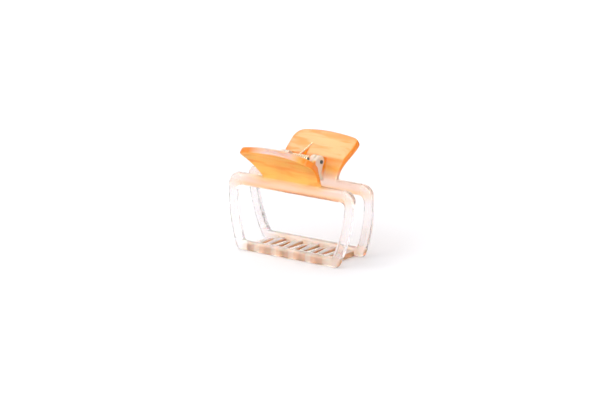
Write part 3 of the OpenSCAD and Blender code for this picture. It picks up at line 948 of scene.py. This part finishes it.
def dye_group(look, sizes, form):
    """The dye: orange in the plates, peach in the top bars, clear in the sides, blush at the teeth; and
    painted light: a paler orange on the rear plate, a highlight on the rims, and shade along the crease
    and fold and between the teeth.
    """
    wiring, given, result = new_group(
        "Shader", "Ombre dye and painted light", {"Vector": ["Vector"], "Color": [socket_name(dye) for dye in RESIN_COLOURS]},
        {"Color": ["Color"], "Float": ["Frost"]})
    math, fade_in, mixed, place = wiring.math, wiring.fade, wiring.mixed, given["Vector"]
    axes = wiring.add("ShaderNodeSeparateXYZ", {"Vector": place}).outputs
    rim, end, tooth_side = (
        wiring.add("ShaderNodeAttribute", {}, attribute_name=name).outputs["Fac"] for name in MARKS)

    height = math("MULTIPLY_ADD", wiring.noise(place, scale=90.0, detail=1.0), WANDER, axes["Z"])
    off_middle = math("ABSOLUTE", axes["X"])
    past_neck = math("MAXIMUM", math("SUBTRACT", off_middle, form.neck_w / 2), 0.0)
    orange_height = math("SUBTRACT", height, math("MULTIPLY", past_neck, END_FALL))
    # The tilt lifts the orange at the rear jaw, partly as painted light on its shaded neck
    tilt = fade_in(axes["Y"], -sizes.shoulder_y, sizes.shoulder_y,
                   -look.fade_tilt / 2, look.fade_tilt / 2, curve="LINEAR")
    in_plate = fade_in(math("SUBTRACT", orange_height, tilt), look.fade_low, look.fade_high)
    from_hinge = math("ABSOLUTE", math("SUBTRACT", axes["Y"], HINGE_AT.y))
    off_lugs = math("MAXIMUM", fade_in(from_hinge, *OFF_LUGS, LUG_ORANGE), fade_in(off_middle, *AT_RIBS))
    in_orange = math("MULTIPLY", in_plate, off_lugs)
    to_corner = fade_in(off_middle, *PEACH_X, 1.0, CORNER_PEACH)
    in_bar = math("MULTIPLY", fade_in(height, *PEACH_Z), to_corner)
    in_teeth = fade_in(height, *(sizes.bottom_bar_h + z for z in BLUSH_Z))

    streaks = wiring.noise(wiring.stretch(place, scale=(0.16, 0.6, 1.0)), scale=420.0, detail=2.5,
                           roughness=0.55, distortion=0.6)
    # The dye's streaks and the plates' ends turn deep orange, and so does the painted shade along the
    # crease and fold
    deep = math("MAXIMUM", fade_in(streaks, *STREAKS, 0.0, STREAK_SHARE), end)
    # The painted highlight on the rims, broken into streaks
    streaked_rim_highlight = math("MULTIPLY", rim, fade_in(streaks, *HIGHLIGHT_STREAKS, HIGHLIGHT_SHARE))
    # Painted light on the rear plate's leaning part: the orange turns paler there
    painted_lit_share = math("MULTIPLY", fade_in(axes["Y"], *REAR_Y), fade_in(axes["Z"], *LEAN_Z))
    dyed = mixed(painted_lit_share, given["Orange"], given["Painted lit orange"])
    dyed = mixed(streaked_rim_highlight, mixed(deep, dyed, given["Deep orange and shade"]), given["Rim highlight"])

    # Deep blush on the teeth's sides, and as painted shade between their roots
    blushed = mixed(tooth_side, given["Blush"], given["Deep blush"])
    low = mixed(math("MULTIPLY", in_teeth, fade_in(axes["X"], *BLUSH_X)), given["Clear"], blushed)
    bar_foot = sizes.height - sizes.top_bar_h
    # A deeper peach along the foot of the top bar
    foot_peach_share = fade_in(axes["Z"], *(bar_foot + z for z in FOOT_PEACH_Z), FOOT_PEACH_SHARE, 0.0)
    middle = mixed(in_bar, low, mixed(foot_peach_share, given["Peach"], given["Foot peach"]))
    middle = mixed(fade_in(height, *LUG_Z), middle, given["Lug pink"])
    frost = math("MAXIMUM", in_orange, math("MULTIPLY", in_bar, BAR_FROST))
    frost = math("MAXIMUM", frost, math("MULTIPLY", in_teeth, TOOTH_FROST))
    wiring.feed(result, {"Color": mixed(in_orange, middle, dyed), "Frost": frost})
    return wiring.tree


def new_material(name):
    """A material with its wiring, its shader and its Object coordinates."""
    material = bpy.data.materials.new(name)
    material.use_nodes = True
    tree = material.node_tree
    place = tree.nodes.new("ShaderNodeTexCoord").outputs["Object"]
    return material, Wiring(tree), tree.nodes["Principled BSDF"], place


def resin_material(name, look, dye, wear, scatter, gloss):
    """Moulded resin under a gloss coat. It scatters a share of the light and lets the rest through."""
    material, wiring, shader, place = new_material(name)
    colours = {socket_name(each): getattr(look, each) for each in RESIN_COLOURS}
    tint = wiring.group(dye, {"Vector": place, **colours})
    marks = wiring.group(wear, {"Vector": place, "Mark scale": 700.0, "Polish": 0.03, "Dulling": 0.06})
    waves = wiring.bump(wiring.noise(place, scale=160.0, detail=1.0), strength=0.25, distance=0.25 * MM)
    wiring.feed(shader, {
        "Base Color": tint["Color"],
        "Roughness": wiring.math("MULTIPLY_ADD", tint["Frost"], FROST_ROUGHNESS, marks["Roughness"]),
        "Normal": wiring.bump(marks["Height"], strength=0.05, distance=0.02 * MM, normal=waves),
        "Metallic": 0.0, "Transmission Weight": 1.0 - scatter, "IOR": look.ior,
        "Coat Weight": gloss, "Coat Roughness": 0.06, "Coat IOR": look.ior,
        "Subsurface Weight": 0.7, "Subsurface Scale": 2.0 * MM, "Subsurface Radius": (1.0, 0.6, 0.35)})
    return material


def metal_material(name, tone, other_tone, polish, dulling, mark_scale):
    """Plated or drawn metal with fine marks and a slightly uneven tone."""
    material, wiring, shader, place = new_material(name)
    patches = wiring.fade(wiring.noise(place, scale=700.0, detail=3.0), begins=0.45, full=0.7)
    marks = wiring.group(shared_wear_group(), {
        "Vector": place, "Mark scale": mark_scale, "Polish": polish, "Dulling": dulling})
    wiring.feed(shader, {
        "Base Color": wiring.mixed(patches, tone, other_tone), "Metallic": 1.0,
        "Roughness": marks["Roughness"],
        "Normal": wiring.bump(marks["Height"], strength=0.15, distance=0.01 * MM)})
    return material


# ---- spring and pin ----

WIRE_SIDES, PIN_SIDES = 16, 48
DOME, DOME_STEPS = 0.3, 4  # rise of the pin's ends, as a share of the chamfer


def swept_wire(wiring, given):
    """Sweeps a round wire along the given path."""
    path = wiring.add("GeometryNodeMeshToCurve", {"Mesh": given["Geometry"]})
    ring = wiring.add("GeometryNodeCurvePrimitiveCircle",
                      {"Radius": given["Wire radius"], "Resolution": given["Sides"]})
    return wiring.add("GeometryNodeCurveToMesh",
                      {"Curve": path, "Profile Curve": ring, "Fill Caps": True})


def spring_line(path):
    """The spring's path as a line of edges, moved from the hinge plane to the hinge."""
    points = [p + Vector((0, HINGE_AT.y, 0)) for p in path.points()]
    return mesh_from("spring_line", points, [], [(i, i + 1) for i in range(len(points) - 1)])


def turned_pin(hinge):
    """The pin as a lathe form with chamfered, slightly domed ends."""
    low, r, c = PIN_BOX[0][0], hinge.pin_d / 2, hinge.pin_chamfer
    steps = [k / DOME_STEPS for k in range(1, DOME_STEPS + 1)]
    profile = [(low + DOME * c * k ** 2, (r - c) * k) for k in steps] + [(low + c, r), (0, r)]
    profile += [(-x, radius) for x, radius in reversed(profile[:-1])]
    stations = [(Vector((x, *HINGE_AT.yz)), radius) for x, radius in profile]
    return loft("hinge_pin", round_rings(stations, Vector((0, 1, 0)), Vector((0, 0, 1)), PIN_SIDES))


# ---- studio ----

SKY_LEVEL = 1.13
SKY_PATCHES = (  # azimuth and elevation of the middle, angles of the core and of the rim, level of light
    (9, 30, 46, 70, 2.85),
    (-50, 66, 22, 38, 2.9),
    (60, 68, 20, 38, 0.1),
    (-70, 28, 12, 24, 0.2),
    (112, 0, 12, 24, 0.2),
    (150, 3, 20, 33, 0.03),
)


def direction(azimuth, elevation):
    """Direction from the clip, at an azimuth from the front."""
    return Vector((sin(azimuth) * cos(elevation), -cos(azimuth) * cos(elevation), sin(elevation)))


def make_floor(studio):
    half = studio.floor_size / 2
    corners = [(-half, -half, 0), (half, -half, 0), (half, half, 0), (-half, half, 0)]
    floor = new_object("studio_floor", mesh_from("studio_floor", corners, [(0, 1, 2, 3)]))
    material, wiring, shader, place = new_material("pale_floor")
    soft = wiring.fade(wiring.noise(place, scale=3.0), begins=0.3, full=0.7)
    wiring.feed(shader, {"Base Color": wiring.mixed(soft, studio.floor, darker(studio.floor, 0.99)),
                         "Roughness": 0.7, "Specular IOR Level": 0.2})
    floor.data.materials.append(material)


def patch_group():
    """Changes the level of light round one direction, with a soft edge."""
    ends = ["Rim", "Core", "Level", "New level"]
    wiring, given, result = new_group(
        "Shader", "Patch of sky", {"Vector": ["Vector", "Towards"], "Float": ends}, {"Float": ["Level"]})
    nearness = wiring.add("ShaderNodeVectorMath", {0: given["Vector"], 1: given["Towards"]},
                          operation="DOT_PRODUCT").outputs["Value"]
    wiring.feed(result, {"Level": wiring.fade(nearness, *(given[label] for label in ends))})
    return wiring.tree


def make_world(scene):
    """Soft light from the front and left, with dark patches that draw lines into the clear resin."""
    scene.world = bpy.data.worlds.new("studio_world")
    scene.world.use_nodes = True
    tree = scene.world.node_tree
    wiring, patch, level = Wiring(tree), patch_group(), SKY_LEVEL
    seen = tree.nodes.new("ShaderNodeTexCoord").outputs["Generated"]
    for azimuth, elevation, core, rim, new_level in SKY_PATCHES:
        level = wiring.group(patch, {
            "Vector": seen, "Towards": direction(radians(azimuth), radians(elevation)),
            "Rim": cos(radians(rim)), "Core": cos(radians(core)),
            "Level": level, "New level": new_level})["Level"]
    wiring.feed(tree.nodes["Background"], {"Color": (1.0, 1.0, 1.0), "Strength": level})


def make_camera(scene, studio):
    data = bpy.data.cameras.new("studio_camera")
    camera = new_object("studio_camera", data)
    away = direction(studio.azimuth, studio.elevation)
    right = Vector((cos(studio.azimuth), sin(studio.azimuth), 0))
    up = away.cross(right)
    target = Vector((0, HINGE_AT.y, studio.target_z)) - studio.aim_right * right - studio.aim_up * up
    camera.location = target + studio.distance * away
    camera.rotation_euler = Matrix((right, up, away)).transposed().to_euler()
    data.sensor_width = 36.0
    data.lens = data.sensor_width * studio.distance / studio.view_width
    data.clip_start, data.clip_end = 0.01, 20.0
    scene.camera = camera


def set_light_paths(scene):
    """Plain colours, and paths long enough for light to pass through both jaws."""
    scene.view_settings.view_transform = "Standard"
    with_options(scene.cycles, {"max_bounces": 32, "glossy_bounces": 16, "transmission_bounces": 24})


# ---- operators ----


class CLAWCLIP_OT_studio(bpy.types.Operator):
    """Sets up the pale floor, the soft light and the camera"""

    bl_idname = "clawclip.studio"
    bl_label = "Studio"

    def execute(self, context):
        studio = context.scene.claw_clip.studio
        make_floor(studio)
        make_world(context.scene)
        make_camera(context.scene, studio)
        set_light_paths(context.scene)
        return {"FINISHED"}


class CLAWCLIP_OT_jaws(bpy.types.Operator):
    """Moulds the two resin jaws: frame, teeth, finger plate and lugs"""

    bl_idname = "clawclip.jaws"
    bl_label = "Jaws"

    def execute(self, context):
        settings = context.scene.claw_clip
        look, hinge = settings.resin, settings.hinge
        wear, dye = shared_wear_group(), dye_group(look, settings.frame, settings.plate)
        resins = [resin_material(name, look, dye, wear, scatter, gloss) for name, scatter, gloss in (
            ("clear_resin", look.haze, look.gloss),
            ("blush_resin", look.teeth_haze, look.gloss),
            ("dyed_resin", look.cloudiness, look.dyed_gloss),
            ("lug_resin", look.lug_cloudiness, look.gloss))]
        tree = comb_tree()
        make_jaw(settings, REAR, settings.rear_plate, hinge.pin_play, False, tree, resins)
        make_jaw(settings, FRONT, settings.front_plate, hinge.press_gap, True, tree, resins)
        return {"FINISHED"}


class CLAWCLIP_OT_hinge_pin(bpy.types.Operator):
    """Turns the steel hinge pin with its chamfered ends"""

    bl_idname = "clawclip.hinge_pin"
    bl_label = "Hinge pin"

    def execute(self, context):
        settings = context.scene.claw_clip
        piece = new_object("hinge_pin_steel", turned_pin(settings.hinge))
        steel = settings.metal.steel
        piece.data.materials.append(metal_material(
            "drawn_steel", steel, darker(steel, 0.7), polish=0.22, dulling=0.2, mark_scale=1500.0))
        shade(piece, sharp_from=35)
        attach(piece, FRONT)
        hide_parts("hinge_pin")
        return {"FINISHED"}


class CLAWCLIP_OT_spring(bpy.types.Operator):
    """Winds the gold torsion spring"""

    bl_idname = "clawclip.spring"
    bl_label = "Spring"

    def execute(self, context):
        settings = context.scene.claw_clip
        spring, metal = settings.spring, settings.metal
        path = SpringPath(spring, PlateCurve(settings.frame, settings.plate, settings.rear_plate))
        piece = new_object("spring_wire", spring_line(path))
        gold = metal_material(
            "pale_gold", metal.gold, metal.worn_gold, polish=0.12, dulling=0.1, mark_scale=2500.0)
        tree = shape_tree("Wire along a path", {"Float": ["Wire radius"], "Int": ["Sides"]}, swept_wire)
        sizes = {"Wire radius": spring.wire_d / 2, "Sides": WIRE_SIDES}
        apply_tree(piece, tree, {**sizes, "Material": gold})
        point_outwards(piece.data)
        shade(piece, sharp_from=50)
        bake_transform(piece)
        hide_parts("spring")
        return {"FINISHED"}


class CLAWCLIP_PT_panel(bpy.types.Panel):
    """Lists the claw clip's operators"""

    bl_idname = "CLAWCLIP_PT_panel"
    bl_label = "Claw Clip"
    bl_space_type = "VIEW_3D"
    bl_region_type = "UI"
    bl_category = "Claw Clip"

    def draw(self, context):
        for operator in OPERATORS:
            self.layout.operator(operator.bl_idname)


OPERATORS = (CLAWCLIP_OT_studio, CLAWCLIP_OT_jaws, CLAWCLIP_OT_hinge_pin, CLAWCLIP_OT_spring)
GROUPS = (FrameSizes, PlateSizes, PlateForm, HingeSizes, ToothSizes, SpringSizes, ResinLook, MetalLook,
          StudioSettings, ClipSettings)


def register():
    for made in GROUPS + OPERATORS + (CLAWCLIP_PT_panel,):
        bpy.utils.register_class(made)
    bpy.types.Scene.claw_clip = bpy.props.PointerProperty(type=ClipSettings, name="Claw clip")


def unregister():
    del bpy.types.Scene.claw_clip
    for made in reversed(GROUPS + OPERATORS + (CLAWCLIP_PT_panel,)):
        bpy.utils.unregister_class(made)


def set_front_plate(plate):
    """The front finger plate is lower and reaches further than the rear one."""
    plate.rise = 14 * MM
    plate.flared_reach = 20.2 * MM
    plate.flare_h = 10 * MM
    plate.flare_ease = 1.1
    plate.droop = 1.9 * MM


def main():
    register()
    set_front_plate(bpy.context.scene.claw_clip.front_plate)
    bpy.ops.clawclip.studio()
    bpy.ops.clawclip.jaws()
    bpy.ops.clawclip.hinge_pin()
    bpy.ops.clawclip.spring()


if __name__ == "__main__":
    main()
